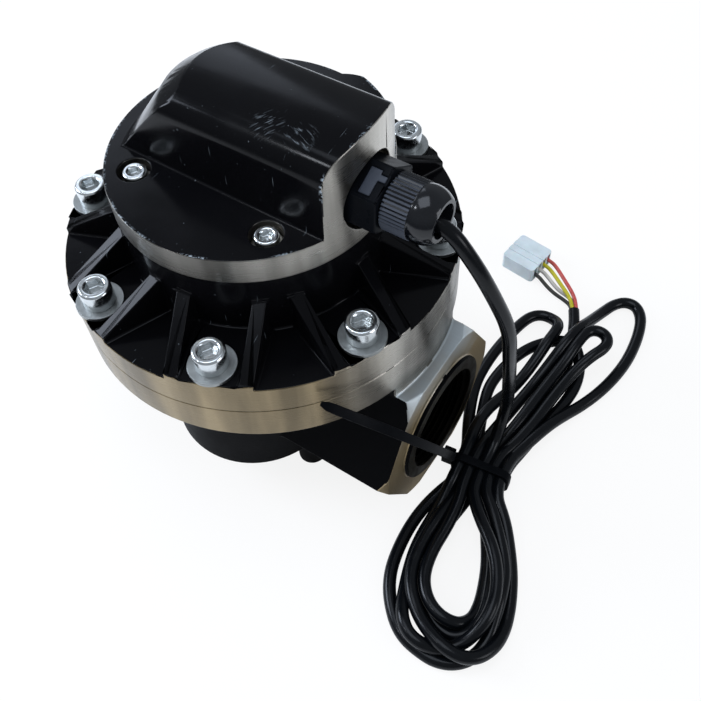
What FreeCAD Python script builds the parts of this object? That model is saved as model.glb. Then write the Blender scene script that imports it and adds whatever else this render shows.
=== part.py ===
import FreeCAD, Part
import math
import os

Vec = FreeCAD.Vector
AXIS_X = Vec(1, 0, 0)
AXIS_Z = Vec(0, 0, 1)

# Driving dimensions, in millimetres and degrees.
# The base stands on z = 0, the ports lie along X and the meter's axis is Z.

# Lower body: hexagonal port bosses, flange and gear chamber
hex_across_flats = 74.0
face_to_face = 164.0
lip_height = 2.0
lip_radius = 28.0
corner_radius = 39.5
port_radius = 22.42
port_depth = 24.0
passage_radius = 12.0
passage_cone = 8.0
port_to_parting = 57.5
flange_radius = 75.0
flange_thickness = 15.6
web_half_width = 21.4
chamber_depth = 70.0
chamber_wall = 8.5
floor_thickness = 6.6
foot_radius = 6.2
foot_x = 31.0
foot_y = 26.8
foot_hole_radius = 3.4
foot_hole_depth = 14.0

# Oval gear pair, shafts and magnets
gear_centres = 45.0
oval_share = 0.18
tooth_count = 24
addendum = 0.5
dedendum = 2.0
tooth_tip_share = 0.07
tooth_root_share = 0.2
tip_gap = 0.45
end_gap = 0.1
shaft_radius = 4.5
shaft_seat = 4.0
bush_wall = 2.4
bush_length = 14.0
thrust_thickness = 0.8
thrust_radius = 9.0
magnet_radius = 3.0
magnet_height = 4.0
magnet_circle = 17.0

# Ribbed cover
rim_height = 13.2
pad_rise = 2.0
hub_radius = 50.0
hub_height = 39.6
rib_offset = 13.2
rib_thickness = 5.0
rib_root_height = 29.5
well_radius = 32.0
well_floor = 10.0

# Cover screws and washers
bolt_count = 8
bolt_edge = 8.0
bolt_radius = 3.5
bolt_length = 28.0
bolt_head_radius = 5.9
bolt_head_height = 8.0
bolt_socket = 6.0
bolt_hole_gap = 0.5
washer_radius = 8.6
washer_thickness = 1.6
head_edge_share = 0.12
socket_flare = 0.5

# Electronics housing: disc and mound
disc_radius = 50.6
disc_height = 10.7
mound_half_foot = 21.0
mound_half_top = 20.4
mound_wall_height = 20.7
shoulder_radius = 9.6
shoulder_sweep = 80.0
crown_height = 31.7
cone_foot_radius = 45.0
cone_shoulder_radius = 26.0
cone_shoulder_height = 24.8
cone_crown_radius = 16.0
rear_pad_x = 16.8
rear_pad_y = 31.6
rear_pad_radius = 16.5
rear_pad_height = 4.5
cavity_back = -8.0
cavity_half_width = 13.0
cavity_roof = 6.0

# Housing screws
case_screw_count = 4
case_screw_circle = 40.0
case_screw_radius = 2.5
case_screw_length = 16.0
case_head_radius = 4.25
case_head_height = 5.0
case_socket = 4.0
counterbore_radius = 5.8
counterbore_depth = 5.4

# Seals
seal_section = 2.6
case_seal_radius = 34.3

# Pulse board
board_length = 44.0
board_width = 26.0
board_thickness = 1.6
standoff_height = 5.0
standoff_radius = 3.5
board_screw_x = 17.0
board_screw_radius = 1.5
board_screw_depth = 4.0
board_head_radius = 2.75
board_head_height = 2.0
sensor_side = 4.0
sensor_height = 1.5
sensor_spread = 5.0
terminal_length = 16.0
terminal_width = 8.0
terminal_height = 9.0
terminal_x = 4.0
terminal_y = 5.0

# Cable gland
gland_rise = 6.4
gland_turn = 25.0
pocket_radius = 13.5
pocket_depth = 9.6
cavity_wall = 5.0
gland_thread_radius = 8.0
gland_seal_radius = 10.2
gland_seal_thickness = 1.5
gland_flats = 22.0
gland_hex_length = 16.1
gland_edge_radius = 12.2
pad_height = 0.3
pad_bar_start = 8.8
pad_bar_width = 4.4
pad_bar_length = 9.4
pad_bar_shift = -0.5
pad_stem_width = 2.4
pad_stem_length = 2.6
pad_stem_shift = 1.5
sleeve_radius = 7.8
sleeve_length = 7.4
sleeve_bore = 4.6
nut_gap = 0.4
nut_rib_count = 44
nut_rib_radius = 9.95
nut_rib_depth = 0.4
nut_length = 9.4
dome_length = 8.4
dome_bulge = 50.0
dome_end_radius = 7.3
mouth_radius = 6.0
throat_radius = 3.4

# Signal cable, tie, cores and plug
cable_diameter = 5.4
grip_depth = 0.5
core_diameter = 1.9
core_spread = 1.0
core_lead_inner = 3.4
core_lead_outer = 4.6
core_plug_lead = 1.6
hank_height = 12.0
tie_width = 3.6
tie_thickness = 1.2
tie_half_span = 13.2
tie_corner = 4.0
tie_angle = 7.0
tie_head_length = 5.6
tie_head_height = 6.4
tie_head_width = 5.2
tail_thickness = 1.0
plug_x = 61.8
plug_y = 122.3
plug_angle = -7.5
plug_length = 18.5
plug_width = 18.0
plug_height = 9.0
plug_ways = 4
plug_pitch = 3.96
plug_corner = 1.8
contact_side = 2.6
contact_inset = 1.0
contact_length = 9.2

# Clearances
thread_gap = 0.05
running_gap = 0.05
seat_gap = 0.05
screw_tip_room = 1.5

# Heights and places worked out from the driving dimensions
port_height = hex_across_flats / 2
parting = port_height + port_to_parting
flange_bottom = parting - flange_thickness
chamber_floor = parting - chamber_depth
block_bottom = chamber_floor - floor_thickness
chamber_radius = gear_centres / 2 * (1 + oval_share) + addendum + tip_gap
block_radius = chamber_radius + chamber_wall
shaft_top = parting + shaft_seat
cover_rim = parting + rim_height
pad_top = cover_rim + pad_rise
cover_top = parting + hub_height
well_bottom = parting + well_floor
disc_top = cover_top + disc_height
gland_height = disc_top + gland_rise
boss_end = face_to_face / 2 - lip_height
bolt_circle = flange_radius - bolt_edge
bolt_start = 360.0 / bolt_count / 2
cover_seal_radius = (gear_centres / 2 + chamber_radius + bolt_circle - bolt_radius) / 2
case_start = 360.0 / case_screw_count / 2
board_bottom = well_bottom + standoff_height
board_top = board_bottom + board_thickness
gear_bottom = chamber_floor + thrust_thickness + end_gap
gear_top = parting - end_gap
bush_radius = shaft_radius + running_gap + bush_wall
pocket_floor = disc_radius - pocket_depth
gland_start = pocket_floor + gland_seal_thickness
sleeve_start = gland_start + gland_hex_length
sleeve_end = sleeve_start + sleeve_length
nut_start = sleeve_start + nut_gap
dome_start = nut_start + nut_length
dome_end = dome_start + dome_length
terminal_top = board_top + terminal_height

# Cable routes, point by point, from the gland to the hank and from the hank to the cores
lead_start = Vec(sleeve_start + grip_depth, 0, gland_height)
lead_route = [
    lead_start,
    Vec(dome_end, 0, gland_height),
    Vec(87.7, 1.2, 137.3),
    Vec(94.3, 3.5, 123.5),
    Vec(100.8, 7.5, 104),
    Vec(101.2, 11.5, 83),
    Vec(100.6, 17, 62),
    Vec(99.4, 22.5, 44),
    Vec(99.1, 25.4, 28.3),
    Vec(99.5, 21, 16.1),
    Vec(100.6, 12.5, 9.2),
]
inner_route = [
    lead_start,
    Vec(pocket_floor - cavity_wall / 2, 0, gland_height),
    Vec((pocket_floor + terminal_x) / 2, terminal_y / 3, gland_height - 4),
    Vec(terminal_x + 4, terminal_y - 1, (gland_height + terminal_top) / 2),
    Vec(terminal_x, terminal_y, terminal_top + 9),
    Vec(terminal_x, terminal_y, terminal_top),
]
tail_end = Vec(96.6, 105.3, cable_diameter / 2)
tail_route = [
    Vec(105, 87, cable_diameter / 2),
    Vec(101.9, 93.5, cable_diameter / 2),
    Vec(99.4, 100, cable_diameter / 2),
    tail_end,
]

# Loose end of the tie: start, middle and tip
strip_points = [Vec(86.9, -1.7, 11.6), Vec(84.5, -34.7, 75.9), Vec(60.1, -49.7, 98.5)]

# Cores: side and level at the jacket's end, points on the way, way of the plug
core_table = {
    "wire_red": (1, 1, [(91.2, 114, 4.4), (85, 118.8, 4.5), (77.8, 124.4, 4.5)], 1.5),
    "wire_yellow": (-1, 1, [(90.2, 111.4, 4.4), (84, 115.6, 4.6), (77.5, 120.3, 4.5)], 0.5),
    "wire_white": (1, -1, [(90.6, 112.3, 1.8), (84, 113.4, 2.2), (77.5, 116.6, 3.4)], -0.5),
    "wire_black": (-1, -1, [(88.9, 109.8, 1.4), (83, 111, 1.4), (77, 112.9, 2.6)], -1.5),
}

# Lobes of the folded hank: waist and tip circles as centre and radius
waist = (101.3, 1.2, 12.8)
lower_lobe = (115.5, -51.5, 29.8)
lower_hole = ((105.2, -14.0, 1.5), (116.0, -52.0, 10.0))
upper_lobes = [(84.0, 82.0, 14.0), (107.0, 87.0, 12.0), (117.0, 112.0, 15.0)]


def cylinder(radius, z_low, z_high, x=0.0, y=0.0):
    return Part.makeCylinder(radius, z_high - z_low, Vec(x, y, z_low), AXIS_Z)


def x_cylinder(radius, x_low, x_high, z, y=0.0):
    return Part.makeCylinder(radius, x_high - x_low, Vec(x_low, y, z), AXIS_X)


def box(x_low, x_high, y_low, y_high, z_low, z_high):
    corner = Vec(x_low, y_low, z_low)
    return Part.makeBox(x_high - x_low, y_high - y_low, z_high - z_low, corner)


def ring(outer, inner, z_low, z_high, x=0.0, y=0.0):
    return cylinder(outer, z_low, z_high, x, y).cut(cylinder(inner, z_low, z_high, x, y))


def turned(points, axis, origin=Vec(0, 0, 0)):
    """Revolve a closed outline of points through a full turn."""
    outline = Part.makePolygon(points + points[:1])
    return Part.Face(outline).revolve(origin, axis, 360)


def x_turned(pairs, z):
    """Revolve pairs of place along X and radius round an axis at height z."""
    points = [Vec(x, 0, z + radius) for x, radius in pairs]
    return turned(points, AXIS_X, Vec(0, 0, z))


def hex_points(across_flats):
    corner = across_flats / math.sqrt(3)
    angles = [math.radians(60 * k) for k in range(6)]
    return [(corner * math.cos(a), corner * math.sin(a)) for a in angles]


def x_hexagon(across_flats, x_low, x_high, z):
    """Hexagonal bar along X with flats above and below."""
    points = [Vec(x_low, y, z + up) for y, up in hex_points(across_flats)]
    outline = Part.makePolygon(points + points[:1])
    return Part.Face(outline).extrude(Vec(x_high - x_low, 0, 0))


def z_hexagon(across_flats, z_low, z_high):
    points = [Vec(x, y, z_low) for x, y in hex_points(across_flats)]
    outline = Part.makePolygon(points + points[:1])
    return Part.Face(outline).extrude(Vec(0, 0, z_high - z_low))


def polar(count, radius, start):
    """Places on a circle about the meter's axis."""
    angles = [math.radians(start + 360.0 * k / count) for k in range(count)]
    return [(radius * math.cos(a), radius * math.sin(a)) for a in angles]


def turn(shape, angle):
    copy = shape.copy()
    copy.rotate(Vec(0, 0, 0), AXIS_Z, angle)
    return copy


def move(shape, x, y, z):
    copy = shape.copy()
    copy.translate(Vec(x, y, z))
    return copy


def save(shape, node):
    shape.removeSplitter().exportStep("parts/" + node + ".step")


def save_group(shapes, node):
    Part.makeCompound(shapes).exportStep("parts/" + node + ".step")


def socket_screw(radius, length, head_radius, head_height, socket):
    """Socket head screw with the underside of its head at z = 0."""
    edge = head_radius * head_edge_share
    mouth = socket / math.sqrt(3) + socket_flare
    head = turned([
        Vec(0, 0, 0),
        Vec(head_radius, 0, 0),
        Vec(head_radius, 0, head_height - edge),
        Vec(head_radius - edge, 0, head_height),
        Vec(0, 0, head_height),
    ], AXIS_Z)
    shank = cylinder(radius, -length, 0)
    recess = z_hexagon(socket, head_height / 2, head_height)
    flare = Part.makeCone(0, mouth, mouth, Vec(0, 0, head_height - mouth))
    return head.fuse(shank).cut([recess, flare]).removeSplitter()


def groove(radius, z_low, z_high):
    half = seal_section / 2 + seat_gap
    return ring(radius + half, radius - half, z_low, z_high)


# Lower body

def chamber_outline(radius, z_low, z_high):
    """Two overlapping circles round the gear centres."""
    front = cylinder(radius, z_low, z_high, 0, -gear_centres / 2)
    rear = cylinder(radius, z_low, z_high, 0, gear_centres / 2)
    return front.fuse(rear)


def port_bar():
    """Hexagonal bar with turned ends and a raised lip round each port."""
    bar = x_hexagon(hex_across_flats, -boss_end, boss_end, port_height)
    reach = hex_across_flats
    slope = reach - corner_radius
    lathe = x_turned([
        (-boss_end, 0),
        (-boss_end, corner_radius),
        (-boss_end + slope, reach),
        (boss_end - slope, reach),
        (boss_end, corner_radius),
        (boss_end, 0),
    ], port_height)
    lips = x_cylinder(lip_radius, -face_to_face / 2, face_to_face / 2, port_height)
    return bar.common(lathe).fuse(lips)


def port_cut(side):
    """Threaded port, its cone and the passage into the chamber."""
    face = face_to_face / 2
    seat = face - port_depth
    cut = x_turned([
        (0, 0),
        (0, passage_radius),
        (seat - passage_cone, passage_radius),
        (seat, port_radius),
        (face, port_radius),
        (face, 0),
    ], port_height)
    return cut if side > 0 else turn(cut, 180)


def make_lower_body():
    flange = cylinder(flange_radius, flange_bottom, parting)
    block = chamber_outline(block_radius, block_bottom, parting)
    middle = box(-block_radius, block_radius, -gear_centres / 2, gear_centres / 2, block_bottom, parting)
    web = box(-boss_end, boss_end, -web_half_width, web_half_width, port_height, parting)
    web = web.common(cylinder(flange_radius, 0, parting))
    body = flange.fuse([block, middle, web, port_bar()])
    feet = []
    holes = []
    for side_x in (-1, 1):
        for side_y in (-1, 1):
            x, y = side_x * foot_x, side_y * foot_y
            feet.append(cylinder(foot_radius, 0, block_bottom + floor_thickness / 2, x, y))
            holes.append(cylinder(foot_hole_radius, 0, foot_hole_depth, x, y))
    body = body.fuse(feet)
    cuts = holes + [port_cut(1), port_cut(-1), chamber_outline(chamber_radius, chamber_floor, parting)]
    tapped_bottom = pad_top + washer_thickness - bolt_length - screw_tip_room
    for x, y in polar(bolt_count, bolt_circle, bolt_start):
        cuts.append(cylinder(bolt_radius + thread_gap, tapped_bottom, parting, x, y))
    for side in (-1, 1):
        seat = chamber_floor - shaft_seat
        cuts.append(cylinder(shaft_radius + seat_gap, seat, parting, 0, side * gear_centres / 2))
    cuts.append(groove(cover_seal_radius, parting - seal_section - seat_gap, parting))
    return body.cut(cuts)


# Ribbed cover

def cover_rib(side):
    """Rib beside the radial line +X, falling from the hub to the rim."""
    y = side * rib_offset - rib_thickness / 2
    root = hub_radius - rib_thickness
    hub_edge = math.sqrt(hub_radius ** 2 - rib_offset ** 2)
    rim_edge = math.sqrt(flange_radius ** 2 - rib_offset ** 2)
    outline = [
        Vec(root - rib_offset, y, parting),
        Vec(flange_radius, y, parting),
        Vec(flange_radius, y, pad_top),
        Vec(rim_edge, y, pad_top),
        Vec(hub_edge, y, parting + rib_root_height),
        Vec(root - rib_offset, y, parting + rib_root_height),
    ]
    face = Part.Face(Part.makePolygon(outline + outline[:1]))
    return face.extrude(Vec(0, rib_thickness, 0))


def bolt_pad():
    """Raised floor between a pair of ribs, under one screw along +X."""
    root = hub_radius - rib_thickness - rib_offset
    return box(root, flange_radius, -rib_offset, rib_offset, parting, pad_top)


def make_ribbed_cover():
    disc = cylinder(flange_radius, parting, cover_rim)
    hub = cylinder(hub_radius, parting, cover_top)
    features = []
    for k in range(bolt_count):
        angle = bolt_start + 360.0 * k / bolt_count
        features.append(turn(bolt_pad(), angle))
        features += [turn(cover_rib(side), angle) for side in (-1, 1)]
    rim = cylinder(flange_radius, parting, cover_top)
    cover = disc.fuse([hub] + features).common(rim)
    cuts = [cylinder(well_radius, well_bottom, cover_top)]
    cuts.append(groove(case_seal_radius, cover_top - seal_section - seat_gap, cover_top))
    for x, y in polar(bolt_count, bolt_circle, bolt_start):
        cuts.append(cylinder(bolt_radius + bolt_hole_gap, parting, cover_top, x, y))
    screw_seat = disc_top - counterbore_depth
    tapped_bottom = screw_seat - case_screw_length - screw_tip_room
    for x, y in polar(case_screw_count, case_screw_circle, case_start):
        cuts.append(cylinder(case_screw_radius + thread_gap, tapped_bottom, cover_top, x, y))
    for side in (-1, 1):
        socket_top = shaft_top + seat_gap
        cuts.append(cylinder(shaft_radius + seat_gap, parting, socket_top, 0, side * gear_centres / 2))
    cover = cover.cut(cuts)
    posts = []
    for side in (-1, 1):
        post = cylinder(standoff_radius, well_bottom, board_bottom, side * board_screw_x, 0)
        hole_low = board_bottom - board_screw_depth - seat_gap
        hole = cylinder(board_screw_radius + thread_gap, hole_low, board_bottom, side * board_screw_x, 0)
        posts.append(post.cut(hole))
    return cover.fuse(posts)


# Oval gears, bushes, shafts and magnets

def gear_outline(long_sign, phase):
    """Toothed oval about the origin; long_sign 1 lies along X and -1 along Y."""
    pitch = 2 * math.pi / tooth_count
    corners = [
        (-tooth_root_share, -dedendum),
        (-tooth_tip_share, addendum),
        (tooth_tip_share, addendum),
        (tooth_root_share, -dedendum),
    ]
    points = []
    for k in range(tooth_count):
        for offset, level in corners:
            angle = (k + phase + offset) * pitch
            oval = gear_centres / 2 * (1 + long_sign * oval_share * math.cos(2 * angle))
            points.append(Vec((oval + level) * math.cos(angle), (oval + level) * math.sin(angle), 0))
    return points


def make_gear(long_sign, phase, y):
    points = gear_outline(long_sign, phase)
    face = Part.Face(Part.makePolygon(points + points[:1]))
    gear = move(face.extrude(Vec(0, 0, gear_top - gear_bottom)), 0, y, gear_bottom)
    cuts = [cylinder(shaft_radius + bush_wall, gear_bottom, gear_top, 0, y)]
    cuts += [cylinder(bush_radius + seat_gap, low, high, 0, y) for low, high in bush_spans()]
    return gear.cut(cuts)


def bush_spans():
    return [(gear_bottom, gear_bottom + bush_length), (gear_top - bush_length, gear_top)]


def make_bushes(y):
    inner = shaft_radius + running_gap
    return [ring(bush_radius, inner, low, high, 0, y) for low, high in bush_spans()]


def magnet_places():
    return [(side * magnet_circle, -gear_centres / 2) for side in (-1, 1)]


def make_gear_set():
    y = gear_centres / 2
    pockets = [
        cylinder(magnet_radius + seat_gap, gear_top - magnet_height - seat_gap, gear_top, px, py)
        for px, py in magnet_places()
    ]
    save(make_gear(1, 0.0, -y).cut(pockets), "oval_gear_front")
    save(make_gear(-1, 0.5, y), "oval_gear_rear")
    save_group(make_bushes(-y), "gear_bushes_front")
    save_group(make_bushes(y), "gear_bushes_rear")
    magnets = [
        cylinder(magnet_radius, gear_top - magnet_height, gear_top, px, py)
        for px, py in magnet_places()
    ]
    save_group(magnets, "rotor_magnets")
    shafts = []
    washers = []
    for side in (-1, 1):
        shafts.append(cylinder(shaft_radius, chamber_floor - shaft_seat, shaft_top, 0, side * y))
        washer = ring(
            thrust_radius, shaft_radius + running_gap,
            chamber_floor, chamber_floor + thrust_thickness, 0, side * y,
        )
        washers.append(washer)
    save_group(shafts, "rotor_shafts")
    save_group(washers, "thrust_washers")


# Electronics housing

def mound_prism(x_low, x_high):
    """Hat-shaped bar along X: leaning walls, round shoulders and a low crown."""
    sweep = math.radians(shoulder_sweep)

    def shoulder(angle, side):
        reach = mound_half_top - shoulder_radius + shoulder_radius * math.cos(angle)
        rise = mound_wall_height + shoulder_radius * math.sin(angle)
        return Vec(x_low, side * reach, disc_top + rise)

    def foot(side):
        return Vec(x_low, side * mound_half_foot, disc_top)

    crown = Vec(x_low, 0, disc_top + crown_height)
    edges = [
        Part.LineSegment(foot(-1), shoulder(0, -1)),
        Part.Arc(shoulder(0, -1), shoulder(sweep / 2, -1), shoulder(sweep, -1)),
        Part.Arc(shoulder(sweep, -1), crown, shoulder(sweep, 1)),
        Part.Arc(shoulder(sweep, 1), shoulder(sweep / 2, 1), shoulder(0, 1)),
        Part.LineSegment(shoulder(0, 1), foot(1)),
        Part.LineSegment(foot(1), foot(-1)),
    ]
    outline = Part.Wire([edge.toShape() for edge in edges])
    return Part.Face(outline).extrude(Vec(x_high - x_low, 0, 0))


def make_housing():
    disc = cylinder(disc_radius, cover_top, disc_top)
    crown = disc_top + crown_height
    front = mound_prism(0, disc_radius).common(cylinder(disc_radius, disc_top, crown))
    cone = turned([
        Vec(0, 0, disc_top),
        Vec(cone_foot_radius, 0, disc_top),
        Vec(cone_shoulder_radius, 0, disc_top + cone_shoulder_height),
        Vec(cone_crown_radius, 0, crown),
        Vec(0, 0, crown),
    ], AXIS_Z)
    back = mound_prism(-disc_radius, 0).common(cone)
    pad = cylinder(rear_pad_radius, disc_top, disc_top + rear_pad_height, rear_pad_x, rear_pad_y)
    pad = pad.common(cylinder(disc_radius, disc_top, crown))
    housing = disc.fuse([front, back, pad])
    cavity_front = pocket_floor - cavity_wall
    roof = crown - cavity_roof
    cuts = [
        box(cavity_back, cavity_front, -cavity_half_width, cavity_half_width, cover_top, roof),
        x_cylinder(pocket_radius, pocket_floor, disc_radius * 2, gland_height),
        x_cylinder(gland_thread_radius + thread_gap, cavity_front, pocket_floor, gland_height),
    ]
    seat = disc_top - counterbore_depth
    for x, y in polar(case_screw_count, case_screw_circle, case_start):
        cuts.append(cylinder(case_screw_radius + bolt_hole_gap, cover_top, seat, x, y))
        cuts.append(cylinder(counterbore_radius, seat, disc_top + rear_pad_height, x, y))
    return housing.cut(cuts)


# Screws, washers and seals

def make_fasteners():
    bolt = socket_screw(bolt_radius, bolt_length, bolt_head_radius, bolt_head_height, bolt_socket)
    washer = ring(washer_radius, bolt_radius + bolt_hole_gap / 2, pad_top, pad_top + washer_thickness)
    places = polar(bolt_count, bolt_circle, bolt_start)
    save_group([move(bolt, x, y, pad_top + washer_thickness) for x, y in places], "cover_screws")
    save_group([move(washer, x, y, 0) for x, y in places], "cover_washers")
    screw = socket_screw(
        case_screw_radius, case_screw_length, case_head_radius, case_head_height, case_socket,
    )
    places = polar(case_screw_count, case_screw_circle, case_start)
    seat = disc_top - counterbore_depth
    save_group([move(screw, x, y, seat) for x, y in places], "housing_screws")


def make_seals():
    half = seal_section / 2
    save(Part.makeTorus(cover_seal_radius, half, Vec(0, 0, parting - half)), "cover_o_ring")
    save(Part.makeTorus(case_seal_radius, half, Vec(0, 0, cover_top - half)), "housing_o_ring")


# Pulse board

def make_electronics():
    half_length, half_width = board_length / 2, board_width / 2
    board = box(-half_length, half_length, -half_width, half_width, board_bottom, board_top)
    screws = []
    for side in (-1, 1):
        x = side * board_screw_x
        board = board.cut(cylinder(board_screw_radius + thread_gap, board_bottom, board_top, x, 0))
        shank = cylinder(board_screw_radius, board_bottom - board_screw_depth, board_top, x, 0)
        head = cylinder(board_head_radius, board_top, board_top + board_head_height, x, 0)
        screws.append(shank.fuse(head))
    save(board, "sensor_board")
    save_group(screws, "board_screws")
    sensor_y = magnet_circle - gear_centres / 2
    half = sensor_side / 2
    sensors = []
    for side in (-1, 1):
        x = side * sensor_spread
        sensors.append(box(
            x - half, x + half, sensor_y - half, sensor_y + half,
            board_bottom - sensor_height, board_bottom,
        ))
    save_group(sensors, "hall_sensors")
    half_length, half_width = terminal_length / 2, terminal_width / 2
    terminal = box(
        terminal_x - half_length, terminal_x + half_length,
        terminal_y - half_width, terminal_y + half_width,
        board_top, board_top + terminal_height,
    )
    save(terminal, "board_terminal")


# Cable gland

def gland_pad():
    """Raised T on the hexagon's upper flat."""
    low = gland_height
    high = gland_height + gland_flats / 2 + pad_height
    bar_low = gland_start + pad_bar_start
    bar_high = bar_low + pad_bar_width
    bar_half = pad_bar_length / 2
    stem_half = pad_stem_width / 2
    bar = box(bar_low, bar_high, pad_bar_shift - bar_half, pad_bar_shift + bar_half, low, high)
    stem = box(
        bar_high, bar_high + pad_stem_length,
        pad_stem_shift - stem_half, pad_stem_shift + stem_half, low, high,
    )
    return bar.fuse(stem)


def make_gland_body():
    bar = x_hexagon(gland_flats, gland_start, sleeve_start, gland_height)
    reach = gland_flats
    slope = reach - gland_edge_radius
    lathe = x_turned([
        (gland_start, 0),
        (gland_start, gland_edge_radius),
        (gland_start + slope, reach),
        (sleeve_start - slope, reach),
        (sleeve_start, gland_edge_radius),
        (sleeve_start, 0),
    ], gland_height)
    thread = x_cylinder(gland_thread_radius, pocket_floor - cavity_wall, gland_start, gland_height)
    sleeve = x_cylinder(sleeve_radius, sleeve_start, sleeve_end, gland_height)
    bore = x_cylinder(sleeve_bore, pocket_floor - cavity_wall, sleeve_end, gland_height)
    body = bar.common(lathe).fuse([gland_pad(), thread, sleeve]).cut(bore)
    body.rotate(Vec(0, 0, gland_height), AXIS_X, gland_turn)
    return body


def make_gland_nut():
    points = []
    for k in range(nut_rib_count):
        for step, radius in ((0, nut_rib_radius), (0.5, nut_rib_radius - nut_rib_depth)):
            angle = 2 * math.pi * (k + step) / nut_rib_count
            points.append(Vec(nut_start, radius * math.cos(angle), gland_height + radius * math.sin(angle)))
    skirt = Part.Face(Part.makePolygon(points + points[:1])).extrude(Vec(nut_length, 0, 0))
    base = nut_rib_radius - nut_rib_depth
    bulge = math.radians(dome_bulge)
    low = Vec(dome_start, 0, gland_height + base)
    mid = Vec(
        dome_start + dome_length * math.sin(bulge), 0,
        gland_height + dome_end_radius + (base - dome_end_radius) * math.cos(bulge),
    )
    high = Vec(dome_end, 0, gland_height + dome_end_radius)
    edges = [
        Part.Arc(low, mid, high).toShape(),
        Part.LineSegment(high, Vec(dome_end, 0, gland_height)).toShape(),
        Part.LineSegment(Vec(dome_end, 0, gland_height), Vec(dome_start, 0, gland_height)).toShape(),
        Part.LineSegment(Vec(dome_start, 0, gland_height), low).toShape(),
    ]
    dome = Part.Face(Part.Wire(edges)).revolve(Vec(0, 0, gland_height), AXIS_X, 360)
    inside = x_turned([
        (nut_start, 0),
        (nut_start, sleeve_radius + thread_gap),
        (sleeve_end, sleeve_radius + thread_gap),
        (dome_start, throat_radius),
        (dome_end, mouth_radius),
        (dome_end, 0),
    ], gland_height)
    return skirt.fuse(dome).cut(inside)


def make_gland():
    save(make_gland_body(), "gland_body")
    save(make_gland_nut(), "gland_nut")
    washer = x_cylinder(gland_seal_radius, pocket_floor, gland_start, gland_height)
    washer = washer.cut(x_cylinder(gland_thread_radius + seat_gap, pocket_floor, gland_start, gland_height))
    save(washer, "gland_o_ring")
    insert = x_cylinder(sleeve_bore - seat_gap, sleeve_start, sleeve_end, gland_height)
    insert = insert.cut(x_cylinder(cable_diameter / 2 + seat_gap, sleeve_start, sleeve_end, gland_height))
    save(insert, "gland_seal")


# Cable, hank, tie, cores and plug

def rounded_path(points, name):
    """Straight runs joined by tangent arcs that take 0.45 of the shorter run."""
    edges = []
    radii = []
    start = points[0]
    for before, corner, after in zip(points, points[1:], points[2:]):
        back = (before - corner).normalize()
        ahead = (after - corner).normalize()
        reach = 0.45 * min(corner.distanceToPoint(before), corner.distanceToPoint(after))
        half_turn = (math.pi - back.getAngle(ahead)) / 2
        radius = reach / math.tan(half_turn)
        inward = (back + ahead).normalize()
        middle = corner + inward * (radius / math.cos(half_turn) - radius)
        entry = corner + back * reach
        leave = corner + ahead * reach
        edges.append(Part.LineSegment(start, entry).toShape())
        edges.append(Part.Arc(entry, middle, leave).toShape())
        radii.append(round(radius, 1))
        start = leave
    edges.append(Part.LineSegment(start, points[-1]).toShape())
    print(name, "radii", radii)
    return Part.Wire(edges)


def tube(points, diameter, name):
    path = rounded_path(points, name)
    heading = points[1] - points[0]
    section = Part.Wire([Part.Circle(points[0], heading, diameter / 2).toShape()])
    solid = path.makePipeShell([section], True, False)
    ideal = math.pi * diameter ** 2 / 4 * path.Length
    print(name, "length", round(path.Length, 1), "volume share", round(solid.Volume / ideal, 3))
    return solid


def lobe(near, far, z_low, z_high):
    """Upright plate round two circles and their outer tangents."""
    near_centre, far_centre = Vec(near[0], near[1], z_low), Vec(far[0], far[1], z_low)
    along = far_centre - near_centre
    lean = math.acos((near[2] - far[2]) / along.Length)
    heading = math.atan2(along.y, along.x)

    def on(centre, radius, angle):
        return centre + Vec(radius * math.cos(angle), radius * math.sin(angle), 0)

    left, right = heading + lean, heading - lean
    edges = [
        Part.LineSegment(on(near_centre, near[2], left), on(far_centre, far[2], left)),
        Part.Arc(
            on(far_centre, far[2], left), on(far_centre, far[2], heading), on(far_centre, far[2], right),
        ),
        Part.LineSegment(on(far_centre, far[2], right), on(near_centre, near[2], right)),
        Part.Arc(
            on(near_centre, near[2], right),
            on(near_centre, near[2], heading + math.pi),
            on(near_centre, near[2], left),
        ),
    ]
    outline = Part.Wire([edge.toShape() for edge in edges])
    return Part.Face(outline).extrude(Vec(0, 0, z_high - z_low))


def at_waist(shape):
    """Place a shape from the tie's own frame, across X and along Y, at the waist."""
    return move(turn(shape, tie_angle), waist[0], waist[1], 0)


def rounded_bar(half_span, low, high, corner, half_width):
    bar = box(-half_span, half_span, -half_width, half_width, low, high)
    edges = [edge for edge in bar.Edges if abs(edge.tangentAt(edge.FirstParameter).y) > 0.99]
    return bar.makeFillet(corner, edges)


def make_hank():
    plates = [lobe(waist, far, 0, hank_height) for far in upper_lobes]
    hank = lobe(waist, lower_lobe, 0, hank_height).fuse(plates)
    hole = lobe(lower_hole[0], lower_hole[1], 0, hank_height)
    band_cut = box(-waist[2] * 2, waist[2] * 2, -tie_width, tie_width, 0, hank_height)
    band_core = rounded_bar(
        tie_half_span - tie_thickness - seat_gap, tie_thickness + seat_gap,
        hank_height - seat_gap, tie_corner - tie_thickness, tie_width,
    )
    return hank.cut([hole, at_waist(band_cut.cut(band_core))])


def tail_strip(start, middle, end):
    """Flat strip along the arc through three points, its width square to the arc's plane."""
    circle = Part.Arc(start, middle, end).toShape().Curve
    centre = circle.Center
    normal = (middle - start).cross(end - middle).normalize()

    def level(point, shift):
        return centre + (point - centre).normalize() * (circle.Radius + shift)

    half = tail_thickness / 2
    edges = [
        Part.Arc(level(start, half), level(middle, half), level(end, half)),
        Part.LineSegment(level(end, half), level(end, -half)),
        Part.Arc(level(end, -half), level(middle, -half), level(start, -half)),
        Part.LineSegment(level(start, -half), level(start, half)),
    ]
    face = Part.Face(Part.Wire([edge.toShape() for edge in edges]))
    face.translate(normal * (-tie_width / 2))
    return face.extrude(normal * tie_width)


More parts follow.
